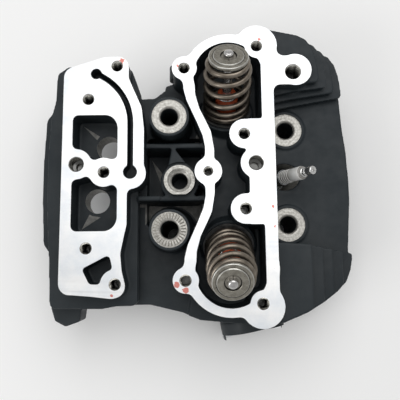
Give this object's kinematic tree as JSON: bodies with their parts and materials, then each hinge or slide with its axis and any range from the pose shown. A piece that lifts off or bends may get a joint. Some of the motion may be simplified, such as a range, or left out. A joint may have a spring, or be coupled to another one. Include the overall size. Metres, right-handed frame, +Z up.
{
  "type": "cylinder head",
  "caption": "Air-cooled finned cylinder head with hemispherical chamber, inclined valves on beehive springs, pushrod windows, separate rocker decks and spark plug.",
  "frame": {"origin": "centre of the cylinder bore on the gasket face", "axes": "+Z up the cylinder axis to the rocker decks, +X to the spark plug side, +Y to the intake side"},
  "size_m": [0.2349, 0.2317, 0.1103],
  "materials": {
    "coated_casting": "satin",
    "valve_steel": "ground",
    "seat_alloy": "machined",
    "guide_bronze": "machined",
    "seal_rubber": "matte",
    "bright_wire": "bright",
    "dark_steel": "satin",
    "spring_steel": "satin",
    "retainer_steel": "turned",
    "keeper_steel": "satin",
    "plated_steel": "bright",
    "plug_ceramic": "glazed"
  },
  "bodies": {
    "head": {"head_casting": "coated_casting", "intake_valve_seat": "seat_alloy", "exhaust_valve_seat": "seat_alloy", "intake_valve_guide": "guide_bronze", "exhaust_valve_guide": "guide_bronze", "intake_stem_seal": "seal_rubber", "exhaust_stem_seal": "seal_rubber", "intake_seal_spring": "bright_wire", "exhaust_seal_spring": "bright_wire", "intake_spring_seat": "dark_steel", "exhaust_spring_seat": "dark_steel", "intake_spring": "spring_steel", "exhaust_spring": "spring_steel", "plug_shell": "plated_steel", "plug_insulator": "plug_ceramic", "plug_electrode": "plated_steel", "plug_terminal": "plated_steel", "plug_gasket": "plated_steel"},
    "intake_valve_train": {"intake_valve": "valve_steel", "intake_retainer": "retainer_steel", "intake_keeper_left": "keeper_steel", "intake_keeper_right": "keeper_steel"},
    "exhaust_valve_train": {"exhaust_valve": "valve_steel", "exhaust_retainer": "retainer_steel", "exhaust_keeper_left": "keeper_steel", "exhaust_keeper_right": "keeper_steel"}
  },
  "joints": [
    {"name": "intake_valve_lift", "type": "slide", "parent": "head", "child": "intake_valve_train", "axis": [0, -0.4924, -0.8704], "range_m": [0, 0.0127], "stiffness_N_per_m": 30000, "springref_m": -0.012, "deforming": ["intake_spring"]},
    {"name": "exhaust_valve_lift", "type": "slide", "parent": "head", "child": "exhaust_valve_train", "axis": [0, 0.4924, -0.8704], "range_m": [0, 0.0127], "stiffness_N_per_m": 30000, "springref_m": -0.012, "deforming": ["exhaust_spring"]}
  ]
}
